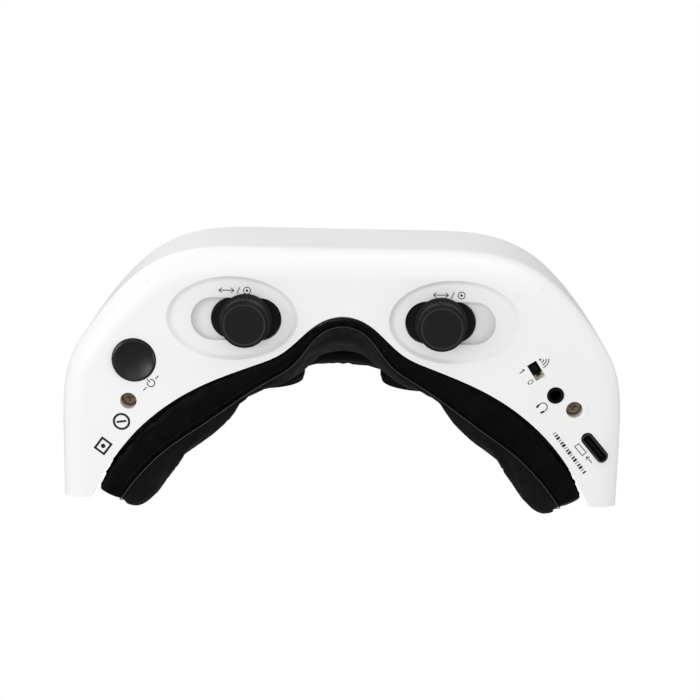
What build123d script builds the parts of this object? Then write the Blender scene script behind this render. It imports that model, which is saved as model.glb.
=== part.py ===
from build123d import *
import os

os.makedirs("parts", exist_ok=True)

# Headset as worn: +Z up, front towards -Y, the wearer's face at +Y.  Origin under the middle, z = 0
# at the faces of the two focus knobs.  All sizes in millimetres.

# ---- driving dimensions: housing ----
half_width = 95.2
front_y = -45.0
rear_y = 45.0
shell_bottom = 7.5
shell_top = 65.0
wall = 2.2
edge_radius = 9.0           # along the underside
top_radius = 13.0
temple_cut = (3.6, 25.0)    # the lower rear corner is cut back this far, up to this height
parting_z = 37.0
front_flat = 34.0           # half length of the straight front
shoulder = (66.0, -37.5)    # outline point at the front corner
flank = (87.0, -14.8)       # outline point on the curved side
straight_side_y = 19.0      # the side is straight behind this
belly_half = 56.0           # half width of the flat underside
belly_rise = 3.0            # how far the underside climbs at the side
crown_half = 30.0           # half width of the flat top
crown_drop = 7.5            # how far the top falls at the side

# ---- driving dimensions: face side ----
nose_depth_y = -27.8
brow_y = -0.5
cheek_edge = [(7.0, -25.7), (14.0, -18.9), (20.3, -12.4), (28.3, -8.4), (48.9, 0.5), (69.6, 16.9),
              (83.0, 37.3), (90.6, 56.0)]
brow_edge = [(7.0, -0.3), (14.0, 0.3), (21.0, 1.4), (29.0, 3.2), (48.5, 10.5), (69.0, 23.0),
             (82.3, 38.5), (90.0, 56.0)]
cushion_nose_y = -21.0
cushion_brow_y = 12.0
cushion_cheek = [(8.0, -17.6), (14.0, -8.6), (20.0, -1.5), (30.3, 4.5), (42.5, 18.5), (56.4, 31.5),
                 (68.0, 46.0), (80.0, 66.0)]
cushion_temple = [(8.0, 12.4), (15.0, 13.0), (22.0, 14.5), (30.3, 17.0), (44.0, 24.0), (57.0, 34.0),
                  (68.0, 46.5), (80.0, 66.0)]
foam_seat = 0.4             # gap between the housing's rim and the foam
foam_inset = 1.0
foam_end = (82.5, 37.8)     # outer corner where the foam is cut square at the temple
foam_end_angle = 151.6
plate_depth = 3.0           # faceplate thickness measured fore and aft
plate_recess = 1.2
plate_gap = 0.25

# ---- driving dimensions: optics and adjusters ----
eye_x = 29.0
eye_z = 36.0
ipd_travel = 6.3
focus_travel = 2.5
barrel_r = 15.8
barrel_wall = 1.8
barrel_front = -34.0
barrel_rear = -7.5
lens_gap = 0.1
running_gap = 0.1
free_gap = 0.3
eyecup_rear = 5.3
knob_x = 32.4
knob_y = -21.7
knob_r = 7.9
knob_skirt_r = knob_r + 0.8
shaft_r = 2.0
pinion_r = 3.4
tooth_depth = 0.7
pinion_teeth = 14
dish_center = (36.9, -22.2)
dish_half = (21.4, 13.8)
dish_depth = 1.2
dish_slope = 1.6            # how much wider the dish is at its rim
dish_soft = 1.0
recess_depth = 1.9
recess_length = 30.1
recess_width = 14.5
slider_length = 23.3
slider_thick = 1.2
end_gap = 0.25
boss_r = 3.0
rod_r = 1.5
rod_y = -31.0
rod_low_z = 16.5
rod_high_z = 54.6
rod_half = 65.0
frame_half = 17.5           # carriage half width
frame_thick = 6.0
tray_reach = 4.6            # from the carriage frame forward to the display tray
display_thick = 1.1

# ---- driving dimensions: controls and sockets in the underside ----
power_at = (-69.6, -7.2)
power_r = 7.2
power_travel = 0.8
power_dish = 1.5
power_back = 12.1
screw_at = [(-71.6, 7.0), (78.1, 7.2)]
screw_hole_r = 2.8
screw_seat = 7.0
screw_wall = 1.6
switch_at = (64.6, -6.2)
switch_angle = 57.0
switch_window = (6.3, 3.5)
switch_travel = 2.2
jack_at = (71.5, 2.2)
jack_r = 2.9
jack_bore_r = 1.8
port_at = (85.8, 20.6)
port_angle = 50.0
port_window = (12.7, 4.3)
board_z = 15.5
board_thick = 1.2
io_board_at = (75.2, 7.0)
io_board_size = (42.0, 11.0)
io_board_angle = 51.6

# ---- driving dimensions: top ----
main_board_z = 59.0
main_board_size = (84.0, 26.0)
main_board_y = -24.0
button_at = [(50.0, -20.0), (60.0, -13.0)]
button_r = 3.6
button_travel = 0.8
button_board_z = 54.6
wheel_at = (-50.0, -16.0)
wheel_r = 7.0
wheel_thick = 3.6
antenna_at = (-70.0, -10.0)
antenna_r = 3.1
antenna_proud = 2.0         # above the middle of the top
power_inlet_at = (-84.0, 15.0)
inlet_r = 3.2
inlet_low = 44.5
inlet_pin_r = 1.0
av_inlet_at = (-81.5, 2.0)
fan_size = 20.0
fan_thick = 6.0
fan_y = -36.0
vent_rows = 5
vent_size = (16.0, 1.6)
vent_pitch = 3.4
strap_slot = (2.4, 26.0)
strap_slot_z = 36.0

knob_gap = 0.3
dish_z = shell_bottom + dish_depth
recess_z = dish_z + recess_depth
slider_low = recess_z - end_gap * 0.4 - slider_thick
floor_z = recess_z + wall
recess_x = knob_x + (recess_length - slider_length) / 2 - end_gap
board_top = board_z + board_thick
axis_z = (0, 0, 1)


def housing_form(inset):
    """The closed pebble that the housing is cut from, moved inwards by inset."""
    half = half_width - inset
    front = front_y + inset
    rear = rear_y - inset
    low = shell_bottom + inset
    high = shell_top - inset
    with BuildPart() as form:
        with BuildSketch(Plane.XY):
            with BuildLine():
                Line((0, front), (front_flat, front))
                Spline((front_flat, front),
                       (shoulder[0] - inset * 0.55, shoulder[1] + inset * 0.84),
                       (flank[0] - inset * 0.87, flank[1] + inset * 0.5),
                       (half, straight_side_y), tangents=[(1, 0), (0, 1)])
                Line((half, straight_side_y), (half, rear))
                Line((half, rear), (0, rear))
                mirror(about=Plane.YZ)
            make_face()
        extrude(amount=shell_top + 15)
        reach = half_width + 2
        with BuildSketch(Plane.XZ):
            with BuildLine():
                run = reach - belly_half
                Line((0, low), (belly_half, low))
                RadiusArc((belly_half, low), (reach, low + belly_rise),
                          -(run ** 2 + belly_rise ** 2) / (2 * belly_rise))
                Line((reach, low + belly_rise), (reach, high - crown_drop))
                run = reach - crown_half
                RadiusArc((reach, high - crown_drop), (crown_half, high),
                          -(run ** 2 + crown_drop ** 2) / (2 * crown_drop))
                Line((crown_half, high), (0, high))
                mirror(about=Plane.YZ)
            make_face()
        extrude(amount=shell_top + 15, both=True, mode=Mode.INTERSECT)
        rims = [edge for edge in form.edges()
                if abs(edge.center().Y - rear) > 0.01 and abs(edge.tangent_at(0.5).Z) < 0.5]
        fillet([edge for edge in rims if edge.center().Z > parting_z], radius=top_radius - inset)
        rims = [edge for edge in form.edges() if abs(edge.center().Y - rear) > 0.01
                and edge.center().Z < low + belly_rise + 0.1 and abs(edge.tangent_at(0.5).Z) < 0.5]
        fillet(rims, radius=edge_radius - inset)
    return form.part


def face_space(low_middle, low_side, high_middle, high_side, shift=0.0):
    """Everything behind a surface that runs from a low outline to a high one, moved back by shift."""
    with BuildPart() as space:
        for level, middle, side in ((-5.0, low_middle, low_side), (75.0, high_middle, high_side)):
            points = [(-x, y + shift) for x, y in reversed(side)]
            points += [(0, middle + shift)] + [(x, y + shift) for x, y in side]
            with BuildSketch(Plane.XY.offset(level)):
                with BuildLine():
                    rim = Spline(*points)
                    Polyline(rim @ 1, (half_width + 30, points[-1][1]), (half_width + 30, 110),
                             (-half_width - 30, 110), (-half_width - 30, points[0][1]), rim @ 0)
                make_face()
        loft()
    return space.part


def behind_rim(shift):
    return face_space(nose_depth_y, cheek_edge, brow_y, brow_edge, shift)


def crown(x):
    """Height of the top surface above a point x from the middle."""
    out = max(abs(x) - crown_half, 0)
    return shell_top - crown_drop * (out / (half_width + 2 - crown_half)) ** 2


def stadium_cut(at, length, width, low, high):
    """A round-ended slot along X."""
    with BuildPart() as cut:
        with BuildSketch(Plane.XY.offset(low)):
            with Locations(at):
                SlotOverall(length, width)
        extrude(amount=high - low)
    return cut.part


def dish_cut(side):
    """The shallow oval dish around one adjuster, with a soft sloping side."""
    with BuildPart() as cut:
        for level, spread in ((shell_bottom - dish_depth, dish_slope), (dish_z, -dish_slope / 2)):
            with BuildSketch(Plane.XY.offset(level)):
                with Locations((side * dish_center[0], dish_center[1])):
                    Ellipse(dish_half[0] + spread, dish_half[1] + spread)
        loft(ruled=True)
        fillet(cut.faces().sort_by(Axis.Z)[-1].edges(), radius=dish_soft)
    return cut.part


outer_form = housing_form(0)
inner_form = housing_form(wall)
open_face = behind_rim(0)

# ---- housing ----
with BuildPart() as housing:
    add(outer_form)
    add(inner_form, mode=Mode.SUBTRACT)
    add(open_face, mode=Mode.SUBTRACT)

with BuildPart() as plate_space:
    add(inner_form)
    add(behind_rim(-plate_recess - plate_depth - free_gap), mode=Mode.INTERSECT)

with BuildPart() as bottom_shell:
    add(housing.part)
    split(bisect_by=Plane.XY.offset(parting_z), keep=Keep.BOTTOM)
    # thick floors under the adjuster recesses and bosses for rods, fan, boards and screws
    with BuildSketch(Plane.XY.offset(shell_bottom + wall - 0.5)):
        for side in (-1, 1):
            with Locations((side * dish_center[0], dish_center[1])):
                Ellipse(dish_half[0] + wall, dish_half[1] + 1.2)
    extrude(amount=floor_z - shell_bottom - wall + 0.5)
    with BuildSketch(Plane.XY.offset(shell_bottom + wall - 0.5)):
        with Locations((-rod_half + 2, rod_y), (rod_half - 2, rod_y)):
            Rectangle(5, 6)
    extrude(amount=rod_low_z + 3.0 - shell_bottom - wall + 0.5)
    with BuildSketch(Plane.XY.offset(shell_bottom + wall - 0.5)):
        with Locations((0, rod_y)):
            Rectangle(6, 6)
    extrude(amount=eye_z - fan_size / 2 - shell_bottom - wall + 0.5)
    with BuildSketch(Plane.XY.offset(shell_bottom + 1.0)):
        with Locations(*screw_at):
            Circle(screw_hole_r + screw_wall)
    extrude(amount=parting_z - shell_bottom - 1.0)
    add(open_face, mode=Mode.SUBTRACT)
    add(plate_space.part, mode=Mode.SUBTRACT)
    for side in (-1, 1):
        add(dish_cut(side), mode=Mode.SUBTRACT)
        add(stadium_cut((side * recess_x, knob_y), recess_length, recess_width, 0, recess_z),
            mode=Mode.SUBTRACT)
        add(stadium_cut((side * (knob_x + ipd_travel / 2), knob_y),
                        ipd_travel + 2 * (boss_r + free_gap), 2 * (boss_r + free_gap), 0, floor_z + 1),
            mode=Mode.SUBTRACT)
    with BuildSketch(Plane.XY):
        with Locations(power_at):
            Circle(power_r + free_gap)
        with Locations(jack_at):
            Circle(jack_r)
        with Locations(*screw_at):
            Circle(screw_hole_r)
    extrude(amount=shell_bottom + screw_seat, mode=Mode.SUBTRACT)
    with BuildSketch(Plane.XY):
        with Locations(*screw_at):
            Circle(1.6)
    extrude(amount=parting_z + 1, mode=Mode.SUBTRACT)
    with BuildSketch(Plane.XY):
        with Locations(Location((switch_at[0], switch_at[1], 0), axis_z, switch_angle)):
            Rectangle(*switch_window)
        with Locations(Location((port_at[0], port_at[1], 0), axis_z, port_angle)):
            SlotOverall(*port_window)
    extrude(amount=board_z - 1, mode=Mode.SUBTRACT)
    with BuildSketch(Plane.YZ.offset(-rod_half)):
        with Locations((rod_y, rod_low_z)):
            Circle(rod_r + 0.05)
    extrude(amount=2 * rod_half, mode=Mode.SUBTRACT)
    # the lower rear corners of the temples slope
    with BuildSketch(Plane.YZ.offset(-half_width - 5)):
        with BuildLine():
            Polyline((rear_y - temple_cut[0], 0), (rear_y - temple_cut[0], shell_bottom),
                     (rear_y, temple_cut[1]), (rear_y + 10, temple_cut[1]), (rear_y + 10, 0), close=True)
        make_face()
    extrude(amount=2 * half_width + 10, mode=Mode.SUBTRACT)
    # side vents: a slanted slit in each front corner
    for side in (-1, 1):
        with BuildSketch(Plane.XY.offset(27.0)):
            with Locations(Location((side * 84.5, -14.0, 0), axis_z, side * 57.0)):
                SlotOverall(16.0, 1.8)
        extrude(amount=6.0, mode=Mode.SUBTRACT)
    # strap slots in the side and rear walls of each temple
    for side in (-1, 1):
        with BuildSketch(Plane.XY.offset(strap_slot_z - strap_slot[1] / 2)):
            with Locations((side * (half_width - 1.2), rear_y - 8.0)):
                Rectangle(6.0, strap_slot[0])
            with Locations((side * (half_width - 4.8), rear_y - 0.8)):
                Rectangle(strap_slot[0], 5.0)
        extrude(amount=strap_slot[1], mode=Mode.SUBTRACT)

# posts for the main board, the screws and the upper rod, that end inside the top wall
with BuildPart() as top_posts:
    with BuildSketch(Plane.XY.offset(main_board_z + board_thick)):
        with Locations((0, main_board_y)):
            with GridLocations(main_board_size[0] - 8, main_board_size[1] - 8, 2, 2):
                Circle(2.2)
    extrude(amount=10)
    with BuildSketch(Plane.XY.offset(parting_z)):
        with Locations(*screw_at):
            Circle(screw_hole_r + screw_wall)
    extrude(amount=shell_top - parting_z)
    with BuildSketch(Plane.XY.offset(rod_high_z - 3.0)):
        with Locations((-rod_half + 2, rod_y), (rod_half - 2, rod_y)):
            Rectangle(5, 6)
    extrude(amount=10)
    add(housing_form(wall / 2), mode=Mode.INTERSECT)

with BuildPart() as top_shell:
    add(housing.part)
    split(bisect_by=Plane.XY.offset(parting_z), keep=Keep.TOP)
    add(top_posts.part)
    with BuildSketch(Plane.XY.offset(main_board_z + board_thick - 1)):
        with Locations((0, main_board_y)):
            with GridLocations(main_board_size[0] - 8, main_board_size[1] - 8, 2, 2):
                Circle(0.9)
    extrude(amount=3.2, mode=Mode.SUBTRACT)
    with BuildSketch(Plane.XY.offset(parting_z - 1)):
        with Locations(*screw_at):
            Circle(1.2)
    extrude(amount=10.0, mode=Mode.SUBTRACT)
    with BuildSketch(Plane.YZ.offset(-rod_half)):
        with Locations((rod_y, rod_high_z)):
            Circle(rod_r + 0.05)
    extrude(amount=2 * rod_half, mode=Mode.SUBTRACT)
    add(open_face, mode=Mode.SUBTRACT)
    with BuildSketch(Plane.XY.offset(shell_top - 12.0)):
        with Locations(*button_at):
            Circle(button_r + free_gap)
        with Locations(antenna_at):
            Circle(antenna_r + free_gap)
        with Locations(power_inlet_at, av_inlet_at):
            Circle(inlet_r + 0.1)
        with Locations(wheel_at):
            Rectangle(2 * wheel_r + 1.0, wheel_thick + 1.2)
    extrude(amount=14.0, mode=Mode.SUBTRACT)
    with BuildSketch(Plane.XY.offset(shell_top - wall - 1)):
        with Locations((0, front_y + 10.0)):
            with GridLocations(1, vent_pitch, 1, vent_rows):
                with Locations((0, 2.0)):
                    SlotOverall(*vent_size)
    extrude(amount=wall + 2, mode=Mode.SUBTRACT)
    for side in (-1, 1):
        with BuildSketch(Plane.XY.offset(parting_z)):
            with Locations((side * (half_width - 1.2), rear_y - 8.0)):
                Rectangle(6.0, strap_slot[0])
            with Locations((side * (half_width - 4.8), rear_y - 0.8)):
                Rectangle(strap_slot[0], 5.0)
        extrude(amount=strap_slot[1] / 2 + strap_slot_z - parting_z, mode=Mode.SUBTRACT)


# ---- face side ----
with BuildPart() as faceplate:
    add(behind_rim(-plate_recess - plate_depth))
    add(behind_rim(-plate_recess), mode=Mode.SUBTRACT)
    add(housing_form(wall + plate_gap), mode=Mode.INTERSECT)
    with BuildSketch(Plane.XZ.offset(-60)):
        for side in (-1, 1):
            with Locations((side * (eye_x + ipd_travel / 2), eye_z)):
                SlotOverall(2 * barrel_r + ipd_travel + 2.4, 2 * barrel_r + 2.4)
        with Locations((0, eye_z)):
            with GridLocations(1, 4.6, 1, 3):
                SlotOverall(10, 1.8)
    extrude(amount=120, mode=Mode.SUBTRACT)

with BuildPart() as face_foam:
    add(housing_form(foam_inset))
    add(behind_rim(foam_seat), mode=Mode.INTERSECT)
    add(face_space(cushion_nose_y, cushion_cheek, cushion_brow_y, cushion_temple), mode=Mode.SUBTRACT)
    # square ends at the temples
    for side in (-1, 1):
        turn = foam_end_angle if side > 0 else 180 - foam_end_angle
        with BuildSketch(Plane.XY):
            with Locations(Location((side * foam_end[0], foam_end[1], 0), axis_z, turn)):
                with Locations((0, -side * 30)):
                    Rectangle(90, 60)
        extrude(amount=shell_top, mode=Mode.SUBTRACT)
    # the opening for the eyes
    with BuildSketch(Plane.XZ.offset(-80)):
        with BuildLine():
            Polyline((0, 30), (12, 27), (22, 19.5), (66, 21), (66, 52), (0, 54))
            mirror(about=Plane.YZ)
        make_face()
    extrude(amount=160, mode=Mode.SUBTRACT)

# ---- guide rods ----
rods = {}
for level, height in (("lower", rod_low_z), ("upper", rod_high_z)):
    with BuildPart() as rod:
        with BuildSketch(Plane.YZ.offset(-rod_half + 0.5)):
            with Locations((rod_y, height)):
                Circle(rod_r)
        extrude(amount=2 * rod_half - 1.0)
        chamfer(rod.edges().filter_by(GeomType.CIRCLE), length=0.3)
    rods[level] = rod

# ---- one optical module per eye ----
modules = {}
for hand, side in (("left", -1), ("right", 1)):
    axis_x = side * eye_x
    knob_at = (side * knob_x, knob_y)
    tube = Plane((axis_x, 0, eye_z), x_dir=(1, 0, 0), z_dir=(0, 1, 0))
    frame_low = rod_low_z - 3.2
    frame_high = rod_high_z + 2.8
    with BuildPart() as carriage:
        with BuildSketch(Plane.XZ.offset(-rod_y - frame_thick / 2)):
            with Locations((axis_x, (frame_low + frame_high) / 2)):
                RectangleRounded(2 * frame_half, frame_high - frame_low, 3)
            with Locations((axis_x, eye_z)):
                Circle(barrel_r + free_gap, mode=Mode.SUBTRACT)
        extrude(amount=frame_thick)
        with BuildSketch(Plane.YZ.offset(axis_x - frame_half - 1)):
            with Locations((rod_y, rod_low_z), (rod_y, rod_high_z)):
                Circle(rod_r + running_gap)
        extrude(amount=2 * frame_half + 2, mode=Mode.SUBTRACT)
        # shelf that carries the adjuster, under the barrel
        with BuildSketch(Plane.XY.offset(floor_z + free_gap)):
            with Locations((knob_at[0], knob_y - 1.0)):
                Rectangle(14, 14)
        extrude(amount=1.6)
        with BuildSketch(Plane.XY.offset(floor_z)):
            with Locations(knob_at):
                Circle(shaft_r + running_gap)
        extrude(amount=5, mode=Mode.SUBTRACT)
        # two arms to the display tray in front
        with BuildSketch(Plane.XZ.offset(-rod_y + frame_thick / 2)):
            with Locations((axis_x, eye_z)):
                with GridLocations(2 * frame_half - 1.2, 1, 2, 1):
                    Rectangle(1.2, 12)
        extrude(amount=tray_reach)
        with BuildSketch(Plane.XZ.offset(-rod_y + frame_thick / 2 + tray_reach)):
            with Locations((axis_x, eye_z)):
                RectangleRounded(2 * frame_half, 26, 2)
                Rectangle(22, 17, mode=Mode.SUBTRACT)
        extrude(amount=1.2)
    with BuildPart() as display:
        with BuildSketch(Plane.XZ.offset(-rod_y + frame_thick / 2 + tray_reach - display_thick)):
            with Locations((axis_x, eye_z)):
                RectangleRounded(26, 20, 1)
        extrude(amount=display_thick)
    with BuildPart() as slider:
        with BuildSketch(Plane.XY.offset(slider_low)):
            with Locations(knob_at):
                SlotOverall(slider_length, recess_width - 2 * end_gap)
        extrude(amount=slider_thick)
        with BuildSketch(Plane.XY.offset(slider_low + slider_thick)):
            with Locations(knob_at):
                Circle(boss_r)
        extrude(amount=floor_z + free_gap - slider_low - slider_thick)
        with BuildSketch(Plane.XY.offset(slider_low - 1)):
            with Locations(knob_at):
                Circle(shaft_r + running_gap)
        extrude(amount=20, mode=Mode.SUBTRACT)
        chamfer(slider.faces().sort_by(Axis.Z)[0].outer_wire().edges(), length=0.35)
    knob_top = dish_z - knob_gap
    with BuildPart() as knob:
        with BuildSketch(Plane.XZ):
            with BuildLine():
                Line((0, 0), (knob_r - 0.8, 0))
                Line((knob_r - 0.8, 0), (knob_r, 0.8))
                Line((knob_r, 0.8), (knob_r + 0.15, knob_top - 2.2))
                Line((knob_r + 0.15, knob_top - 2.2), (knob_skirt_r, knob_top - 1.2))
                Line((knob_skirt_r, knob_top - 1.2), (knob_skirt_r, knob_top))
                Line((knob_skirt_r, knob_top), (shaft_r, knob_top))
                Line((shaft_r, knob_top), (shaft_r, floor_z + 5.2))
                Line((shaft_r, floor_z + 5.2), (0, floor_z + 5.2))
                Line((0, floor_z + 5.2), (0, 0))
            make_face()
        revolve(axis=Axis.Z)
        with BuildSketch(Plane.XY.offset(1.6)):
            with PolarLocations(knob_r + 0.45, 36):
                Circle(0.5)
        extrude(amount=knob_top - 4.4, mode=Mode.SUBTRACT)
    knob_part = knob.part.moved(Location((knob_at[0], knob_at[1], 0)))
    pinion_low = floor_z + free_gap + 1.6 + free_gap
    with BuildPart() as pinion:
        with BuildSketch(Plane.XY.offset(pinion_low)):
            Circle(pinion_r)
            with PolarLocations(pinion_r - 0.1, pinion_teeth, start_angle=360 / pinion_teeth / 2):
                Rectangle(2 * tooth_depth - 0.2, 0.7)
            Circle(shaft_r, mode=Mode.SUBTRACT)
        extrude(amount=2.6)
    pinion_part = pinion.part.moved(Location((knob_at[0], knob_at[1], 0)))
    rack_x = knob_at[0] - side * (pinion_r + tooth_depth + free_gap)
    with BuildPart() as barrel:
        with BuildSketch(tube.offset(barrel_front)):
            Circle(barrel_r)
            Circle(barrel_r - barrel_wall, mode=Mode.SUBTRACT)
        extrude(amount=barrel_rear - barrel_front)
        with BuildSketch(Plane.XY.offset(pinion_low)):
            with Locations((rack_x - side * 1.4, knob_y + 2.2)):
                Rectangle(2.8, 11.0)
                with GridLocations(1, 1.5, 1, 7):
                    with Locations((side * 1.4, 0)):
                        Rectangle(0.6, 0.7)
        extrude(amount=eye_z - barrel_r - pinion_low + 1.0)
        with BuildSketch(tube.offset(barrel_front - 1)):
            Circle(barrel_r - barrel_wall)
        extrude(amount=60, mode=Mode.SUBTRACT)
        # screen stop inside the front and a lens seat
        with BuildSketch(tube.offset(barrel_front + 6)):
            Circle(barrel_r - barrel_wall)
            Circle(barrel_r - barrel_wall - 1.6, mode=Mode.SUBTRACT)
        extrude(amount=1.2)
        with BuildSketch(tube.offset(-15.4)):
            Circle(barrel_r - barrel_wall)
            Circle(barrel_r - barrel_wall - 1.6, mode=Mode.SUBTRACT)
        extrude(amount=1.2)
    lens_r = barrel_r - barrel_wall - lens_gap
    with BuildPart() as rear_lens:
        with BuildSketch(Plane.XY):
            with BuildLine():
                Line((0, -14.1), (lens_r, -14.1))
                Line((lens_r, -14.1), (lens_r, -12.2))
                RadiusArc((lens_r, -12.2), (0, -8.6), -(lens_r ** 2 + 3.6 ** 2) / 7.2)
                Line((0, -8.6), (0, -14.1))
            make_face()
        revolve(axis=Axis.Y)
    with BuildPart() as front_lens:
        with BuildSketch(Plane.XY):
            with BuildLine():
                Line((0, barrel_front + 7.3), (lens_r, barrel_front + 7.3))
                Line((lens_r, barrel_front + 7.3), (lens_r, barrel_front + 9.1))
                RadiusArc((lens_r, barrel_front + 9.1), (0, barrel_front + 11.6),
                          -(lens_r ** 2 + 2.5 ** 2) / 5.0)
                Line((0, barrel_front + 11.6), (0, barrel_front + 7.3))
            make_face()
        revolve(axis=Axis.Y)
    lens_place = Location((axis_x, 0, eye_z))
    with BuildPart() as eyecup:
        with BuildSketch(Plane.XY):
            with BuildLine():
                cup = [(barrel_r - barrel_wall, barrel_rear), (barrel_r, barrel_rear),
                       (barrel_r, eyecup_rear - 2.0), (barrel_r - 0.6, eyecup_rear),
                       (barrel_r - 1.6, eyecup_rear), (barrel_r - barrel_wall, eyecup_rear - 6)]
                Polyline(*cup, close=True)
            make_face()
        revolve(axis=Axis.Y)
    modules[hand] = {
        f"ipd_carriage_{hand}": carriage.part, f"display_panel_{hand}": display.part,
        f"ipd_slider_plate_{hand}": slider.part, f"focus_knob_{hand}": knob_part,
        f"focus_pinion_{hand}": pinion_part, f"lens_barrel_{hand}": barrel.part,
        f"rear_lens_{hand}": rear_lens.part.moved(lens_place),
        f"front_lens_{hand}": front_lens.part.moved(lens_place),
        f"eyecup_{hand}": eyecup.part.moved(lens_place)}

# ---- underside controls and sockets ----
rim_z = shell_bottom - 0.6
bowl_r = ((power_r - 0.6) ** 2 + power_dish ** 2) / (2 * power_dish)
with BuildPart() as power_button:
    with BuildSketch(Plane.XZ):
        with BuildLine():
            Polyline((0, rim_z), (0, power_back), (power_r + 1.4, power_back),
                     (power_r + 1.4, power_back - 1.0), (power_r, power_back - 1.0),
                     (power_r, rim_z + 0.4), (power_r - 0.6, rim_z), (0, rim_z))
        make_face()
    revolve(axis=Axis.Z)
    with Locations((0, 0, rim_z + power_dish - bowl_r)):
        Sphere(bowl_r, mode=Mode.SUBTRACT)
power_button_part = power_button.part.moved(Location((power_at[0], power_at[1], 0)))

with BuildPart() as power_board:
    with BuildSketch(Plane.XY.offset(board_z)):
        with Locations(power_at):
            RectangleRounded(18, 16, 1)
    extrude(amount=board_thick)
with BuildPart() as power_switch:
    with BuildSketch(Plane.XY.offset(board_z - 1.6)):
        with Locations(power_at):
            RectangleRounded(6, 6, 0.5)
    extrude(amount=1.6)
    with BuildSketch(Plane.XY.offset(power_back + power_travel + 0.1)):
        with Locations(power_at):
            Circle(1.7)
    extrude(amount=board_z - 1.6 - power_back - power_travel - 0.1)

with BuildPart() as io_board:
    with BuildSketch(Plane.XY.offset(board_z)):
        with Locations(Location((io_board_at[0], io_board_at[1], 0), axis_z, io_board_angle)):
            RectangleRounded(io_board_size[0], io_board_size[1], 1)
        with Locations(screw_at[1]):
            Circle(screw_hole_r + screw_wall + 0.3, mode=Mode.SUBTRACT)
    extrude(amount=board_thick)

switch_place = Location((switch_at[0], switch_at[1], 0), axis_z, switch_angle)
with BuildPart() as switch_body:
    with BuildSketch(Plane.XY.offset(shell_bottom + wall + 0.3)):
        with Locations(switch_place):
            Rectangle(8.6, 4.4)
            Rectangle(5.2, 1.9, mode=Mode.SUBTRACT)
    extrude(amount=board_z - shell_bottom - wall - 0.3)
with BuildPart() as switch_nub:
    with BuildSketch(Plane.XY.offset(shell_bottom + 0.5)):
        with Locations(switch_place):
            with Locations((-switch_travel / 2, 0)):
                Rectangle(2.4, 1.5)
    extrude(amount=4.6)
    chamfer(switch_nub.faces().sort_by(Axis.Z)[0].edges(), length=0.25)

with BuildPart() as audio_jack:
    with BuildSketch(Plane.XY.offset(shell_bottom + wall + 0.8)):
        with Locations(jack_at):
            Circle(jack_r + 0.1)
    extrude(amount=board_z - shell_bottom - wall - 0.8)
    with BuildSketch(Plane.XY.offset(shell_bottom + 0.3)):
        with Locations(jack_at):
            Circle(jack_r - 0.15)
    extrude(amount=wall + 0.6)
    with BuildSketch(Plane.XY.offset(shell_bottom)):
        with Locations(jack_at):
            Circle(jack_bore_r)
    extrude(amount=board_z - shell_bottom - 0.6, mode=Mode.SUBTRACT)

port_place = Location((port_at[0], port_at[1], 0), axis_z, port_angle)
with BuildPart() as video_port:
    with BuildSketch(Plane.XY.offset(shell_bottom + 1.0)):
        with Locations(port_place):
            RectangleRounded(11.4, 3.4, 1.2)
            RectangleRounded(10.7, 2.7, 0.9, mode=Mode.SUBTRACT)
    extrude(amount=board_z - shell_bottom - 1.0)
    with BuildSketch(Plane.XY.offset(board_z - 1.0)):
        with Locations(port_place):
            RectangleRounded(11.4, 3.4, 1.2)
    extrude(amount=1.0)
with BuildPart() as port_tongue:
    with BuildSketch(Plane.XY.offset(shell_bottom + 1.8)):
        with Locations(port_place):
            Rectangle(8.2, 0.7)
    extrude(amount=board_z - 1.0 - shell_bottom - 1.8)

with BuildPart() as shell_screws:
    with BuildSketch(Plane.XY.offset(shell_bottom + screw_seat - 1.9)):
        with Locations(*screw_at):
            Circle(2.45)
    extrude(amount=1.9)
    with BuildSketch(Plane.XY.offset(shell_bottom + screw_seat)):
        with Locations(*screw_at):
            Circle(1.2)
    extrude(amount=parting_z - shell_bottom - screw_seat + 7)
    with BuildSketch(Plane.XY.offset(shell_bottom + screw_seat - 1.9)):
        for spot in screw_at:
            with Locations(spot):
                Rectangle(2.6, 0.6)
                Rectangle(0.6, 2.6)
    extrude(amount=0.9, mode=Mode.SUBTRACT)

# ---- boards under the top ----
with BuildPart() as main_board:
    with BuildSketch(Plane.XY.offset(main_board_z)):
        with Locations((0, main_board_y)):
            RectangleRounded(main_board_size[0], main_board_size[1], 2)
            with GridLocations(main_board_size[0] - 8, main_board_size[1] - 8, 2, 2):
                Circle(1.1, mode=Mode.SUBTRACT)
    extrude(amount=board_thick)
with BuildPart() as video_chip:
    with BuildSketch(Plane.XY.offset(main_board_z + board_thick)):
        with Locations((10, main_board_y)):
            Rectangle(14, 14)
        with Locations((-14, main_board_y + 2)):
            Rectangle(9, 11)
    extrude(amount=1.2)
with BuildPart() as board_screws:
    with Locations((0, main_board_y, 0)):
        with GridLocations(main_board_size[0] - 8, main_board_size[1] - 8, 2, 2):
            with Locations((0, 0, main_board_z - 0.6)):
                Cylinder(1.9, 1.2)
            with Locations((0, 0, main_board_z + 1.4)):
                Cylinder(0.85, 2.8)

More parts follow.
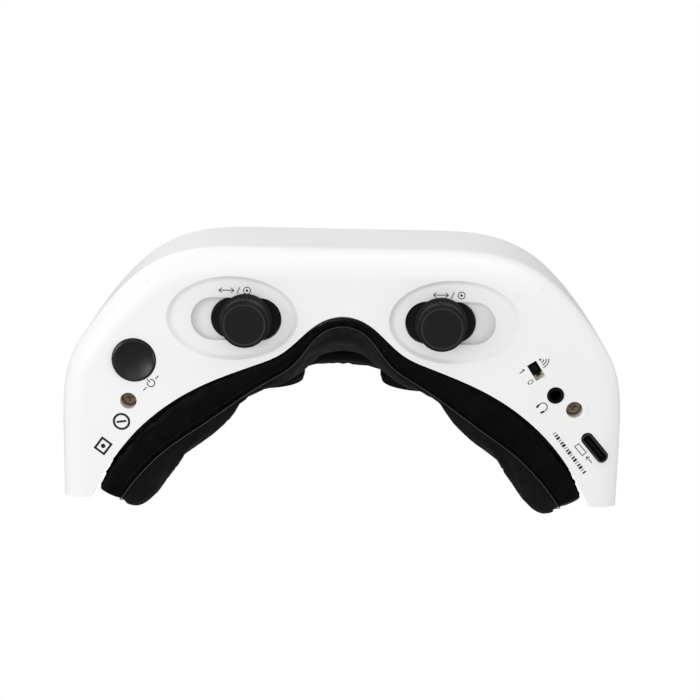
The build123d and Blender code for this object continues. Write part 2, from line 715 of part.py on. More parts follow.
receiver_z = 50.0
with BuildPart() as receiver_board:
    with BuildSketch(Plane.XY.offset(receiver_z)):
        with Locations(antenna_at):
            RectangleRounded(22, 15, 1)
    extrude(amount=board_thick)
with BuildPart() as receiver_shield:
    with BuildSketch(Plane.XY.offset(receiver_z - 3.0)):
        with Locations(antenna_at):
            Rectangle(17, 12)
    extrude(amount=3.0)
    fillet(receiver_shield.edges().filter_by(Axis.Z), radius=0.8)
with BuildPart() as antenna_jack:
    with BuildSketch(Plane.XY.offset(receiver_z + board_thick)):
        with Locations(antenna_at):
            Circle(antenna_r)
    extrude(amount=shell_top + antenna_proud - receiver_z - board_thick)
    with BuildSketch(Plane.XY.offset(receiver_z + board_thick + 4)):
        with Locations(antenna_at):
            Circle(0.9)
    extrude(amount=30, mode=Mode.SUBTRACT)
    with BuildSketch(Plane.XY.offset(crown(antenna_at[0]) + 0.8)):
        with Locations(antenna_at):
            Circle(antenna_r + 1)
            Circle(antenna_r - 0.4, mode=Mode.SUBTRACT)
    extrude(amount=0.6, mode=Mode.SUBTRACT)

# ---- top controls ----
button_caps = {}
for number, spot in enumerate(button_at, 1):
    cap_low = crown(spot[0]) - 4.6
    with BuildPart() as cap:
        with BuildSketch(Plane.XY.offset(cap_low)):
            with Locations(spot):
                Circle(button_r + 1.2)
        extrude(amount=1.0)
        with BuildSketch(Plane.XY.offset(cap_low + 1.0)):
            with Locations(spot):
                Circle(button_r)
        extrude(amount=4.9)
        fillet(cap.edges().sort_by(Axis.Z)[-1], radius=0.8)
    button_caps[number] = cap
with BuildPart() as button_board:
    middle = [(first + second) / 2 for first, second in zip(*button_at)]
    with BuildSketch(Plane.XY.offset(button_board_z)):
        with Locations((middle[0], middle[1])):
            RectangleRounded(17, 13, 1)
    extrude(amount=1.0)
with BuildPart() as button_switches:
    with BuildSketch(Plane.XY.offset(button_board_z + 1.0)):
        with Locations(*button_at):
            Rectangle(4, 4)
    extrude(amount=1.0)
    for spot in button_at:
        with BuildSketch(Plane.XY.offset(button_board_z + 2.0)):
            with Locations(spot):
                Circle(1.2)
        extrude(amount=crown(spot[0]) - 4.6 - button_travel - 0.1 - button_board_z - 2.0)

wheel_z = shell_top - wheel_r + 1.4
with BuildPart() as wheel:
    with BuildSketch(Plane.XZ.offset(-wheel_at[1] - wheel_thick / 2)):
        with Locations((wheel_at[0], wheel_z)):
            Circle(wheel_r)
            with PolarLocations(wheel_r, 30):
                Circle(0.35, mode=Mode.SUBTRACT)
            Circle(1.3, mode=Mode.SUBTRACT)
    extrude(amount=wheel_thick)
with BuildPart() as wheel_bracket:
    with BuildSketch(Plane.XZ.offset(-wheel_at[1] - wheel_thick / 2 - 1.8)):
        with Locations((wheel_at[0], wheel_z)):
            Circle(1.2)
    extrude(amount=wheel_thick + 3.6)
    for face_y in (-wheel_at[1] + wheel_thick / 2 + 0.6, -wheel_at[1] - wheel_thick / 2 - 1.8):
        with BuildSketch(Plane.XZ.offset(face_y)):
            with Locations((wheel_at[0], wheel_z - 1.6)):
                RectangleRounded(7, 7.6, 1)
        extrude(amount=1.2)
    with BuildSketch(Plane.XY.offset(wheel_z - wheel_r - 1.9)):
        with Locations(wheel_at):
            Rectangle(7, wheel_thick + 3.6)
    extrude(amount=1.3)
    for face_y in (-wheel_at[1] + wheel_thick / 2 + 0.6, -wheel_at[1] - wheel_thick / 2 - 1.8):
        with BuildSketch(Plane.XZ.offset(face_y)):
            with Locations((wheel_at[0], wheel_z - 5.6)):
                Rectangle(7, 5)
        extrude(amount=1.2)

inlets = {}
for node, spot in (("power_inlet", power_inlet_at), ("av_inlet", av_inlet_at)):
    with BuildPart() as inlet:
        with BuildSketch(Plane.XY.offset(inlet_low)):
            with Locations(spot):
                RectangleRounded(8.4, 8.4, 0.6)
        extrude(amount=8.6)
        with BuildSketch(Plane.XY.offset(inlet_low + 8.6)):
            with Locations(spot):
                Circle(inlet_r)
        extrude(amount=crown(spot[0]) - 0.6 - inlet_low - 8.6)
        with BuildSketch(Plane.XY.offset(inlet_low + 2.0)):
            with Locations(spot):
                if node == "power_inlet":
                    Circle(inlet_r - 0.7)
                    Circle(inlet_pin_r, mode=Mode.SUBTRACT)
                else:
                    Circle(jack_bore_r)
        extrude(amount=20, mode=Mode.SUBTRACT)
    inlets[node] = inlet

# ---- fan ----
fan_face = Plane.XZ.offset(-fan_y)
with BuildPart() as fan_housing:
    with BuildSketch(fan_face):
        with Locations((0, eye_z)):
            RectangleRounded(fan_size, fan_size, 2)
            Circle(fan_size / 2 - 0.8, mode=Mode.SUBTRACT)
            with GridLocations(fan_size - 3.4, fan_size - 3.4, 2, 2):
                Circle(0.8, mode=Mode.SUBTRACT)
    extrude(amount=-fan_thick)
    with BuildSketch(fan_face):
        with Locations((0, eye_z)):
            Rectangle(fan_size - 1, 1.2)
            Rectangle(1.2, fan_size - 1)
            Circle(4.2)
    extrude(amount=-0.8)
    with BuildSketch(fan_face):
        with Locations((0, eye_z)):
            Circle(0.7)
    extrude(amount=-4.0)
with BuildPart() as fan_rotor:
    with BuildSketch(fan_face.offset(-1.2)):
        with Locations((0, eye_z)):
            Circle(4.0)
            with PolarLocations(6.2, 7):
                Rectangle(5.2, 1.0)
            Circle(0.8, mode=Mode.SUBTRACT)
    extrude(amount=-4.2)

pieces = {
    "bottom_shell": bottom_shell.part, "top_shell": top_shell.part, "faceplate": faceplate.part,
    "face_foam": face_foam.part, "guide_rod_lower": rods["lower"].part,
    "guide_rod_upper": rods["upper"].part, "power_button": power_button_part,
    "power_board": power_board.part, "power_switch": power_switch.part, "io_board": io_board.part,
    "receiver_switch_body": switch_body.part, "receiver_switch_slider": switch_nub.part,
    "headphone_jack": audio_jack.part, "video_port_shell": video_port.part,
    "video_port_tongue": port_tongue.part, "shell_screws": shell_screws.part,
    "main_board": main_board.part, "main_board_chips": video_chip.part,
    "main_board_screws": board_screws.part, "receiver_board": receiver_board.part,
    "receiver_shield": receiver_shield.part, "antenna_jack": antenna_jack.part,
    "channel_button": button_caps[1].part, "mode_button": button_caps[2].part,
    "button_board": button_board.part, "button_switches": button_switches.part,
    "thumb_wheel": wheel.part, "thumb_wheel_bracket": wheel_bracket.part,
    "power_inlet": inlets["power_inlet"].part, "av_inlet": inlets["av_inlet"].part,
    "fan_housing": fan_housing.part, "fan_rotor": fan_rotor.part}
for module in modules.values():
    pieces.update(module)

for node, solid in pieces.items():
    solid.label = node
    export_step(solid, f"parts/{node}.step")
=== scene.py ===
import bpy, bmesh, math
from mathutils import Matrix, Vector
from mathutils.bvhtree import BVHTree


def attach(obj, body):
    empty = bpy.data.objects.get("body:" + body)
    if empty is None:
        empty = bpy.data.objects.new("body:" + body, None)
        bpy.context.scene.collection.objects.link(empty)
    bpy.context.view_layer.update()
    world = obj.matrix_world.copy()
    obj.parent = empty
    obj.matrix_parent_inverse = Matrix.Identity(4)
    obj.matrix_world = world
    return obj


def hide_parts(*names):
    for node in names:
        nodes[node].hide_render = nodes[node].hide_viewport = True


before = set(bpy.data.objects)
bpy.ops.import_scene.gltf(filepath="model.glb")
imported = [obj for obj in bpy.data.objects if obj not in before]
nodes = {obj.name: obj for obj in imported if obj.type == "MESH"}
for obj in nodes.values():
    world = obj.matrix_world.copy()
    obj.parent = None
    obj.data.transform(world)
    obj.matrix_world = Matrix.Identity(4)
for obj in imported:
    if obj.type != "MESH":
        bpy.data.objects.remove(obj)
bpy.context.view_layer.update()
MM = 0.001

# ---- camera ----
# The goggles are looked at from below and a little in front, as they lie with their underside to
# the lens.  The lens is a long one, about 87 mm, and the picture leans by one degree.
pitch = math.radians(14.0)
lean = math.radians(1.15)
distance = 582 * MM
aim = Vector((2.4, -6.8, 29.1)) * MM
ahead = Vector((0, math.sin(pitch), math.cos(pitch)))
upright = Vector((0, -math.cos(pitch), math.sin(pitch)))
sideways = Vector((1, 0, 0))
right = math.cos(lean) * sideways + math.sin(lean) * upright
up = math.cos(lean) * upright - math.sin(lean) * sideways
lens = bpy.data.cameras.new("lens")
lens.lens = 86.6
lens.clip_start = 0.01
camera = bpy.data.objects.new("camera", lens)
turned = Matrix((right, up, -ahead)).transposed().to_4x4()
camera.matrix_world = Matrix.Translation(aim - distance * ahead) @ turned
bpy.context.scene.collection.objects.link(camera)
bpy.context.scene.camera = camera

# ---- studio ----
# A pale table that the goggles stand on, seen only from above, in a white room.  The room is a
# little dimmer as a source of light than it looks, and dimmer still where gloss mirrors it.
bpy.context.scene.view_settings.view_transform = "Standard"
room = bpy.data.worlds.new("room")
bpy.context.scene.world = room
room.use_nodes = True
air = room.node_tree
air.nodes.clear()
path = air.nodes.new("ShaderNodeLightPath")


def room_light(strength):
    light = air.nodes.new("ShaderNodeBackground")
    light.inputs["Color"].default_value = (1.0, 1.0, 1.0, 1.0)
    light.inputs["Strength"].default_value = strength
    return light.outputs[0]


def either(choice, otherwise, chosen):
    blend = air.nodes.new("ShaderNodeMixShader")
    air.links.new(blend.inputs[0], choice)
    air.links.new(blend.inputs[1], otherwise)
    air.links.new(blend.inputs[2], chosen)
    return blend.outputs[0]


lit = either(path.outputs["Is Glossy Ray"], room_light(0.80), room_light(0.14))
seen = either(path.outputs["Is Camera Ray"], lit, room_light(1.0))
air.links.new(air.nodes.new("ShaderNodeOutputWorld").inputs[0], seen)

table = bmesh.new()
bmesh.ops.create_grid(table, x_segments=1, y_segments=1, size=3.0)
floor_mesh = bpy.data.meshes.new("table")
table.to_mesh(floor_mesh)
table.free()
floor = bpy.data.objects.new("table", floor_mesh)
bpy.context.scene.collection.objects.link(floor)
floor_finish = bpy.data.materials.new("table_paint")
floor_finish.use_nodes = True
paint = floor_finish.node_tree
paint.nodes["Principled BSDF"].inputs["Base Color"].default_value = (0.80, 0.80, 0.80, 1)
paint.nodes["Principled BSDF"].inputs["Roughness"].default_value = 0.7
clear = paint.nodes.new("ShaderNodeBsdfTransparent")
one_way = paint.nodes.new("ShaderNodeMixShader")
side = paint.nodes.new("ShaderNodeNewGeometry")
paint.links.new(one_way.inputs[0], side.outputs["Backfacing"])
paint.links.new(one_way.inputs[1], paint.nodes["Principled BSDF"].outputs[0])
paint.links.new(one_way.inputs[2], clear.outputs[0])
paint.links.new(paint.nodes["Material Output"].inputs[0], one_way.outputs[0])
floor_mesh.materials.append(floor_finish)
floor.visible_shadow = False
floor.visible_diffuse = False
floor.visible_glossy = False


def softbox(name, place, size, power):
    """A square soft light that points at the goggles."""
    lamp = bpy.data.lights.new(name, "AREA")
    lamp.shape = "SQUARE"
    lamp.size = size
    lamp.energy = power
    lamp_object = bpy.data.objects.new(name, lamp)
    place = Vector(place)
    toward = (Vector((0, 0, 0.03)) - place).to_track_quat("-Z", "Y")
    lamp_object.matrix_world = Matrix.Translation(place) @ toward.to_matrix().to_4x4()
    bpy.context.scene.collection.objects.link(lamp_object)


softbox("under_left", (-0.70, -0.20, -0.50), 0.45, 2.0)
softbox("under_front", (-0.10, -0.45, -0.75), 0.4, 0.4)
softbox("front", (0.30, -1.0, 0.0), 0.6, 2.0)
softbox("under_right", (0.75, 0.05, -0.45), 0.35, 0.5)
softbox("over_left", (-0.6, -0.6, 0.9), 0.6, 2.4)
softbox("over_back", (0.5, 0.8, 0.7), 0.6, 1.8)

# ---- housing ----
# Two halves of satin-gloss white ABS that meet at a line half way up, moulded with a very fine
# texture.  Two screws from below hold them together, in holes that show the warmer bare plastic,
# painted darker deeper up each hole as painted shade.
class Value:
    """A socket that carries one number or colour, so that a finish is written as arithmetic."""

    def __init__(self, finish, socket):
        self.finish = finish
        self.socket = socket

    def calculate(self, operation, first, second):
        return self.finish.node("ShaderNodeMath", {"operation": operation}, {0: first, 1: second})

    def __add__(self, other):
        return self.calculate("ADD", self, other)

    def __sub__(self, other):
        return self.calculate("SUBTRACT", self, other)

    def __rsub__(self, other):
        return self.calculate("SUBTRACT", other, self)

    def __mul__(self, other):
        return self.calculate("MULTIPLY", self, other)

    def __pow__(self, other):
        return self.calculate("POWER", self, other)

    def __abs__(self):
        return self.calculate("ABSOLUTE", self, 0.0)

    __radd__ = __add__
    __rmul__ = __mul__


class Finish:
    """A material: one Principled shader, and the nodes that feed it."""

    def __init__(self, name, **constants):
        self.material = bpy.data.materials.new(name)
        self.material.use_nodes = True
        self.tree = self.material.node_tree
        self.shader = self.tree.nodes["Principled BSDF"]
        self.set(**constants)
        spots = self.tree.nodes.new("ShaderNodeTexCoord")
        self.spots = Value(self, spots.outputs["Object"])
        self.unwrapped = Value(self, spots.outputs["UV"])

    def set(self, **sockets):
        for name, value in sockets.items():
            self.feed(self.shader.inputs[name.replace("_", " ")], value)

    def feed(self, socket, value):
        if isinstance(value, Value):
            self.tree.links.new(socket, value.socket)
        elif socket.type == "RGBA":
            socket.default_value = (*value[:3], 1.0)
        else:
            socket.default_value = value

    def node(self, kind, settings, sockets, output=0):
        made = self.tree.nodes.new(kind)
        for name, value in settings.items():
            setattr(made, name, value)
        for name, value in sockets.items():
            self.feed(made.inputs[name], value)
        return Value(self, made.outputs[output])

    def noise(self, size, detail=3.0):
        """Cloudy noise whose blotches are about size metres across."""
        sockets = {"Vector": self.spots, "Scale": 1 / size, "Detail": detail}
        return self.node("ShaderNodeTexNoise", {}, sockets)

    def cells(self, size, feature="DISTANCE_TO_EDGE"):
        """A pattern of cells about size metres across."""
        sockets = {"Vector": self.spots, "Scale": 1 / size}
        return self.node("ShaderNodeTexVoronoi", {"feature": feature}, sockets)

    def between(self, value, low, high):
        """0 below low, 1 above high, smooth between."""
        settings = {"interpolation_type": "SMOOTHSTEP"}
        sockets = {"Value": value, "From Min": low, "From Max": high}
        return self.node("ShaderNodeMapRange", settings, sockets)

    def blend(self, share, first, second):
        made = self.tree.nodes.new("ShaderNodeMix")
        made.data_type = "RGBA"
        self.feed(made.inputs[0], share)
        self.feed(made.inputs[6], first)
        self.feed(made.inputs[7], second)
        return Value(self, made.outputs[2])

    def parts(self, place=None):
        """The x, y and z of a place."""
        split = self.tree.nodes.new("ShaderNodeSeparateXYZ")
        self.feed(split.inputs[0], place or self.spots)
        return [Value(self, split.outputs[i]) for i in range(3)]

    def around(self, x, y):
        """Distance from an upright axis at x, y."""
        here_x, here_y, _ = self.parts()
        return ((here_x - x) ** 2.0 + (here_y - y) ** 2.0) ** 0.5

    def bump(self, height, depth, strength=1.0):
        return self.node("ShaderNodeBump", {}, {"Height": height, "Distance": depth, "Strength": strength})


def dress(finish, *names):
    """Gives CAD nodes one finish."""
    for name in names:
        mesh = nodes[name].data
        mesh.materials.clear()
        mesh.materials.append(finish.material)


parting_height = 0.037
screw_holes = (-0.0716, 0.0070), (0.0781, 0.0072)
joint_edge = 0.00008, 0.00028
hole_edge = 0.00278, 0.00290
hole_shade_depth = 0.0090, 0.0160
white_abs = Finish("white_abs", Specular_IOR_Level=0.4)
clouds = white_abs.noise(0.03, detail=2.0)
spark = white_abs.noise(0.00035, detail=2.0)
height = white_abs.parts()[2]
joint = 1 - white_abs.between(abs(height - parting_height), *joint_edge)
paint_white = white_abs.blend(
    0.2 * joint, white_abs.blend(clouds, (0.872, 0.875, 0.872), (0.890, 0.890, 0.884)), (0.30, 0.30, 0.30))
hole = 0.0
for centre in screw_holes:
    hole = hole + (1 - white_abs.between(white_abs.around(*centre), *hole_edge))
# Painted shade: the bare plastic goes from beige at the mouth of each hole to dark brown deeper up it.
depth = white_abs.between(height, *hole_shade_depth)
bare_plastic_and_painted_shade = white_abs.blend(depth, (0.80, 0.73, 0.65), (0.16, 0.11, 0.08))
white_abs.set(
    Base_Color=white_abs.blend(hole, paint_white, bare_plastic_and_painted_shade),
    Roughness=0.32 + 0.08 * clouds,
    Normal=white_abs.bump(0.1 * spark - 0.5 * joint, 0.0002, 0.3),
)
dress(white_abs, "bottom_shell", "top_shell", "channel_button", "mode_button")

# ---- printed signs ----
# Black pad printing on the underside, a few hundredths of a millimetre thick.  The signs are plain
# ones: an arrow and a ring over each knob, a switch sign, arcs for radio, 1 and 0, a headphone.
ink = Finish("black_ink", Specular_IOR_Level=0.2)
speck = ink.noise(0.0003, detail=2.0)
ink.set(Base_Color=ink.blend(speck, (0.010, 0.010, 0.011), (0.030, 0.030, 0.031)), Roughness=0.5 + 0.2 * speck)
ink_thickness = 0.05 * MM
underside = BVHTree.FromPolygons([v.co for v in nodes["bottom_shell"].data.vertices],
                                 [p.vertices[:] for p in nodes["bottom_shell"].data.polygons])


def take(sheet, shape, matrix):
    """Moves one drawn shape to its place and adds it to a sheet of signs."""
    bmesh.ops.transform(shape, matrix=matrix, verts=shape.verts)
    drawn = bpy.data.meshes.new("drawn")
    shape.to_mesh(drawn)
    shape.free()
    sheet.from_mesh(drawn)
    bpy.data.meshes.remove(drawn)


def spot(x, y, angle=0.0, wide=1.0, deep=1.0):
    turn = Matrix.Rotation(math.radians(angle), 4, "Z")
    return Matrix.Translation((x, y, 0)) @ turn @ Matrix.Diagonal((wide, deep, 1, 1))


def bar(sheet, place, x, y, length, width, angle=0.0):
    shape = bmesh.new()
    bmesh.ops.create_grid(shape, x_segments=1, y_segments=1, size=0.5)
    take(sheet, shape, place @ spot(x, y, angle, length, width))


def arc(sheet, place, x, y, radius, width, start=0.0, sweep=360.0, squeeze=1.0):
    shape = bmesh.new()
    ends = [shape.verts.new((radius + side * width / 2, 0, 0)) for side in (-1, 1)]
    edge = shape.edges.new(ends)
    bmesh.ops.spin(shape, geom=ends + [edge], axis=(0, 0, 1), cent=(0, 0, 0), angle=math.radians(sweep),
                   steps=24, use_merge=sweep == 360.0)
    take(sheet, shape, place @ spot(x, y, start, 1, 1) @ Matrix.Diagonal((squeeze, 1, 1, 1)))


def dot(sheet, place, x, y, radius):
    shape = bmesh.new()
    bmesh.ops.create_circle(shape, cap_ends=True, segments=20, radius=radius)
    take(sheet, shape, place @ spot(x, y))


def lay(sheet, name):
    """Lays a drawn sign on the underside of the housing."""
    for point in sheet.verts:
        below = Vector((point.co.x * MM, point.co.y * MM, 0))
        hit = underside.ray_cast(below, Vector((0, 0, 1)))[0]
        point.co = Vector((below.x, below.y, hit.z - ink_thickness))
    for face in sheet.faces:
        face.normal_update()
        if face.normal.z > 0:
            face.normal_flip()
    mesh = bpy.data.meshes.new(name)
    sheet.to_mesh(mesh)
    sheet.free()
    mesh.materials.append(ink.material)
    piece = bpy.data.objects.new(name, mesh)
    bpy.context.scene.collection.objects.link(piece)
    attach(piece, "headset")


for hand, at in (("left", (-36.2, -31.4)), ("right", (34.7, -31.2))):
    sign = bmesh.new()
    here = spot(*at)
    bar(sign, here, -2.6, 0, 5.0, 0.28)
    for end, lean_out in ((-5.1, 1), (-0.1, -1)):
        bar(sign, here, end + lean_out * 0.5, 0.42, 1.3, 0.26, lean_out * 40)
        bar(sign, here, end + lean_out * 0.5, -0.42, 1.3, 0.26, -lean_out * 40)
    bar(sign, here, 1.3, 0, 2.4, 0.24, -65)
    arc(sign, here, 4.2, 0, 1.15, 0.26)
    dot(sign, here, 4.2, 0, 0.42)
    lay(sign, "adjuster_sign_" + hand)

sign = bmesh.new()
here = spot(-63.9, 0.6, -45)
arc(sign, here, 0, 0, 1.25, 0.32, -60, 300)
bar(sign, here, 0, -1.1, 0.32, 1.5)
for side in (-1, 1):
    bar(sign, here, side * 2.9, 0, 1.6, 0.3)
lay(sign, "power_sign")

sign = bmesh.new()
here = spot(-80.4, 23.2, -54)
for side in (-1, 1):
    bar(sign, here, side * 2.2, 0, 0.75, 4.4)
    bar(sign, here, 0, side * 1.85, 5.1, 0.75)
dot(sign, here, 0, 0, 0.8)
here = spot(-74.0, 14.3, -54)
arc(sign, here, 0, 0, 2.6, 0.75)
bar(sign, here, 0, 0, 3.4, 0.7, 45)
lay(sign, "rating_signs")

sign = bmesh.new()
here = spot(67.0, -9.2, 52)
dot(sign, here, -1.5, 0.4, 0.36)
for radius in (1.1, 2.0, 2.9):
    arc(sign, here, -1.5, 0.4, radius, 0.3, -60, 75)
lay(sign, "radio_sign")

sign = bmesh.new()
here = spot(59.9, -5.9, 52)
bar(sign, here, 0, 0, 0.3, 2.0)
bar(sign, here, -0.28, -0.75, 0.8, 0.28, -40)
arc(sign, spot(62.9, -2.4, 52), 0, 0, 0.95, 0.3, squeeze=0.62)
lay(sign, "switch_numbers")

sign = bmesh.new()
here = spot(67.4, 6.3, 52)
arc(sign, here, 0, 0, 1.5, 0.3, 150, 240)
for side in (-1, 1):
    bar(sign, here, side * 1.3, 1.15, 0.65, 1.3, side * 12)
lay(sign, "headphone_sign")

sign = bmesh.new()
here = spot(82.1, 22.5, 49)
for side in (-1, 1):
    bar(sign, here, -1.8, side * 0.85, 4.4, 0.26)
    bar(sign, here, -1.8 + side * 2.1, 0, 0.26, 1.9)
bar(sign, here, 3.0, 0, 3.0, 0.28)
bar(sign, here, 2.0, 0.38, 1.1, 0.26, 40)
bar(sign, here, 2.0, -0.38, 1.1, 0.26, -40)
here = spot(77.2, 22.3, 51.6)
for mark in range(17):
    bar(sign, here, -8.8 + 1.1 * mark, 0, 0.24 + 0.3 * (mark * 7 % 3), 1.35)
lay(sign, "port_sign_and_lot_bars")

# ---- metal ----
# Ground steel guide rods, the stamped bracket of the thumb wheel and the tinned cover of the
# receiver; the pinions and the antenna thread are gold-coloured.  The two long screws have a dull
# warm zinc plating, and the video socket is folded tin: pale at its mouth, and painted near black
# above it as painted shade inside the socket.
bright_steel = Finish("bright_steel", Metallic=1.0)
rubbed = bright_steel.noise(0.0012, detail=4.0)
bright_steel.set(
    Base_Color=bright_steel.blend(rubbed, (0.42, 0.42, 0.43), (0.62, 0.62, 0.63)),
    Roughness=0.22 + 0.18 * rubbed,
    Normal=bright_steel.bump(rubbed, 0.00003, 0.3),
)
dress(bright_steel, "guide_rod_lower", "guide_rod_upper", "main_board_screws", "thumb_wheel_bracket",
      "receiver_shield")
aged_zinc = Finish("aged_zinc", Metallic=0.8)
rubbed = aged_zinc.noise(0.0011, detail=4.0)
aged_zinc.set(
    Base_Color=aged_zinc.blend(rubbed, (0.30, 0.22, 0.16), (0.62, 0.52, 0.43)),
    Roughness=0.4 + 0.2 * rubbed,
    Normal=aged_zinc.bump(rubbed, 0.00004, 0.5),
)
dress(aged_zinc, "shell_screws")
tin = Finish("socket_tin", Metallic=0.5)
rubbed = tin.noise(0.0010, detail=4.0)
painted_shade_heights = 0.0079, 0.0086
# Painted shade: the tin goes near black above the mouth, where the inside of the socket lies in shade.
mouth_outside_painted_shade = 1 - tin.between(tin.parts()[2], *painted_shade_heights)
tin.set(
    Base_Color=tin.blend(mouth_outside_painted_shade, (0.05, 0.045, 0.04), tin.blend(rubbed, (0.50, 0.42, 0.34), (0.72, 0.64, 0.55))),
    Roughness=0.35 + 0.2 * rubbed,
    Normal=tin.bump(rubbed, 0.00003, 0.4),
)
dress(tin, "video_port_shell")
gold = Finish("gold_plate", Metallic=1.0)
rubbed = gold.noise(0.0009, detail=4.0)
gold.set(
    Base_Color=gold.blend(rubbed, (0.60, 0.42, 0.16), (0.83, 0.64, 0.30)),
    Roughness=0.2 + 0.2 * rubbed,
    Normal=gold.bump(rubbed, 0.00002, 0.3),
)
dress(gold, "antenna_jack", "focus_pinion_left", "focus_pinion_right")

# ---- circuit boards ----
# Glass-fibre boards under green solder mask: the copper tracks show as paler lines under it, and
# tinned pads shine through in rows.
solder_mask = Finish("solder_mask", Specular_IOR_Level=0.5)
tracks = solder_mask.cells(0.0024)
track = 1 - solder_mask.between(tracks, 0.03, 0.07)
pads = 1 - solder_mask.between(solder_mask.cells(0.0019, "F1"), 0.16, 0.20)
solder_mask.set(
    Base_Color=solder_mask.blend(
        pads, solder_mask.blend(track, (0.006, 0.060, 0.022), (0.020, 0.130, 0.050)), (0.62, 0.60, 0.55)),
    Metallic=pads,
    Roughness=0.28 + 0.1 * pads,
    Normal=solder_mask.bump(track + pads, 0.00004, 0.5),
)
dress(solder_mask, "power_board", "io_board", "main_board", "receiver_board", "button_board")

# ---- dark moulded parts ----
# The carriages, barrels, fan, sockets, chips and switches are black nylon with a fine spark-eroded
# texture; the faceplate between the eyes has the same finish.
black_matt = Finish("black_matt", Specular_IOR_Level=0.18)
grain = black_matt.noise(0.0004, detail=3.0)
broad = black_matt.noise(0.012, detail=2.0)
black_matt.set(
    Base_Color=black_matt.blend(grain, (0.0035, 0.0035, 0.0038), (0.0070, 0.0070, 0.0075)),
    Roughness=0.46 + 0.12 * grain + 0.06 * broad,
    Normal=black_matt.bump(grain, 0.00003, 0.4),
)
dress(black_matt, "faceplate", "power_switch", "headphone_jack", "video_port_tongue", "main_board_chips",
      "button_switches", "power_inlet", "av_inlet", "fan_housing", "fan_rotor", "receiver_switch_slider",
      "thumb_wheel")
for hand in ("left", "right"):
    dress(black_matt, "ipd_carriage_" + hand, "lens_barrel_" + hand)

# ---- receiver switch ----
# A small slide switch behind a slanted window: black nylon, with the bare tinned frame showing at
# the end that the slider has left.
window_x, window_y = 0.0646, -0.0062
window_direction = 0.5446, 0.8387
frame_starts = 0.0016, 0.0018
switch_frame = Finish("switch_frame", Specular_IOR_Level=0.3)
here_x, here_y, _ = switch_frame.parts()
along_window = (here_x - window_x) * window_direction[0] + (here_y - window_y) * window_direction[1]
tinned = switch_frame.between(along_window, *frame_starts)
scuff = switch_frame.noise(0.0008, detail=3.0)
switch_frame.set(
    Base_Color=switch_frame.blend(tinned, (0.006, 0.006, 0.006), switch_frame.blend(
        scuff, (0.50, 0.42, 0.34), (0.66, 0.58, 0.48))),
    Roughness=0.45 + 0.15 * scuff,
    Normal=switch_frame.bump(scuff, 0.00003, 0.4),
)
dress(switch_frame, "receiver_switch_body")

# ---- lenses and screens ----
# Two coated glass lenses in each barrel, in front of a small panel whose picture elements show as a
# fine grid behind gloss.
coated_glass = Finish("coated_glass", Base_Color=(0.90, 0.94, 0.98), Transmission_Weight=1.0, IOR=1.5)
dust = coated_glass.noise(0.002, detail=5.0)
coated_glass.set(Roughness=0.02 + 0.04 * dust)
screen = Finish("screen", Coat_Weight=1.0, Coat_Roughness=0.04)
column, _, row = screen.parts()
half_element = 0.00004
gap_edge = 0.000006, 0.000014
element = 1.0
for place in (column, row):
    from_gap = screen.node("ShaderNodeMath", {"operation": "PINGPONG"}, {0: place, 1: half_element})
    element = screen.between(from_gap, *gap_edge) * element
screen.set(
    Base_Color=screen.blend(element, (0.004, 0.004, 0.005), (0.022, 0.024, 0.034)),
    Roughness=0.3 + 0.1 * element,
)
for hand in ("left", "right"):
    dress(coated_glass, "front_lens_" + hand, "rear_lens_" + hand)
    dress(screen, "display_panel_" + hand)

# ---- eyecups ----
# Soft black rubber rings pushed over the rear end of each barrel, dull from the mould and slightly
# dusty on their rims.
rubber = Finish("eyecup_rubber", Specular_IOR_Level=0.08)
bloom = rubber.noise(0.006, detail=4.0)
fine = rubber.noise(0.0005, detail=2.0)
rubber.set(
    Base_Color=rubber.blend(bloom, (0.0030, 0.0030, 0.0030), (0.0075, 0.0077, 0.0077)),
    Roughness=0.6 + 0.15 * bloom,
    Normal=rubber.bump(fine, 0.00004, 0.5),
)
dress(rubber, "eyecup_left", "eyecup_right")

# ---- adjusters ----
# A sliding plate and a knob under each eye: push sideways to set the eye distance, turn to focus.
# The knob is soft-touch black with a turned line near the edge of its face, painted light grey as a
# painted highlight; the plate is plain.
knob_x, knob_y = 0.0324, -0.0217
face_height = 0.0004, 0.0012
line_inside = 0.00640, 0.00655
line_outside = 0.00680, 0.00695
face_edge = 0.0072, 0.0078
for hand, side in (("left", -1), ("right", 1)):
    soft = Finish("soft_touch_" + hand, Specular_IOR_Level=0.25)
    velvet = soft.noise(0.00022, detail=2.0)
    smudge = soft.noise(0.004, detail=4.0)
    out = soft.around(side * knob_x, knob_y)
    low = 1 - soft.between(soft.parts()[2], *face_height)
    # Painted highlight: a thin light grey ring where the face meets its bevel; the same ring is cut in as a groove.
    groove_and_painted_highlight = soft.between(out, *line_inside) * (1 - soft.between(out, *line_outside)) * low
    face_share = low * (1 - soft.between(out, *face_edge))
    soft.set(
        Base_Color=soft.blend(
            groove_and_painted_highlight,
            soft.blend(face_share, (0.0050, 0.0053, 0.0053),
                       soft.blend(smudge, (0.0095, 0.0105, 0.0102), (0.0128, 0.0138, 0.0135))),
            (0.036, 0.038, 0.038)),
        Roughness=0.50 + 0.12 * smudge,
        Normal=soft.bump(0.5 * velvet - groove_and_painted_highlight, 0.00008, 0.4),
    )
    dress(soft, "focus_knob_" + hand)
    plate = Finish("slider_plate_" + hand, Specular_IOR_Level=0.2)
    drawn_out = plate.node("ShaderNodeVectorMath", {"operation": "MULTIPLY"},
                           {0: plate.spots, 1: (180.0, 2600.0, 400.0)})
    brushed = plate.node("ShaderNodeTexNoise", {}, {"Vector": drawn_out, "Scale": 1.0, "Detail": 3.0})
    plate.set(
        Base_Color=plate.blend(brushed, (0.0060, 0.0062, 0.0065), (0.0120, 0.0124, 0.0128)),
        Roughness=0.42 + 0.14 * brushed,
        Normal=plate.bump(brushed, 0.00002, 0.5),
    )
    dress(plate, "ipd_slider_plate_" + hand)

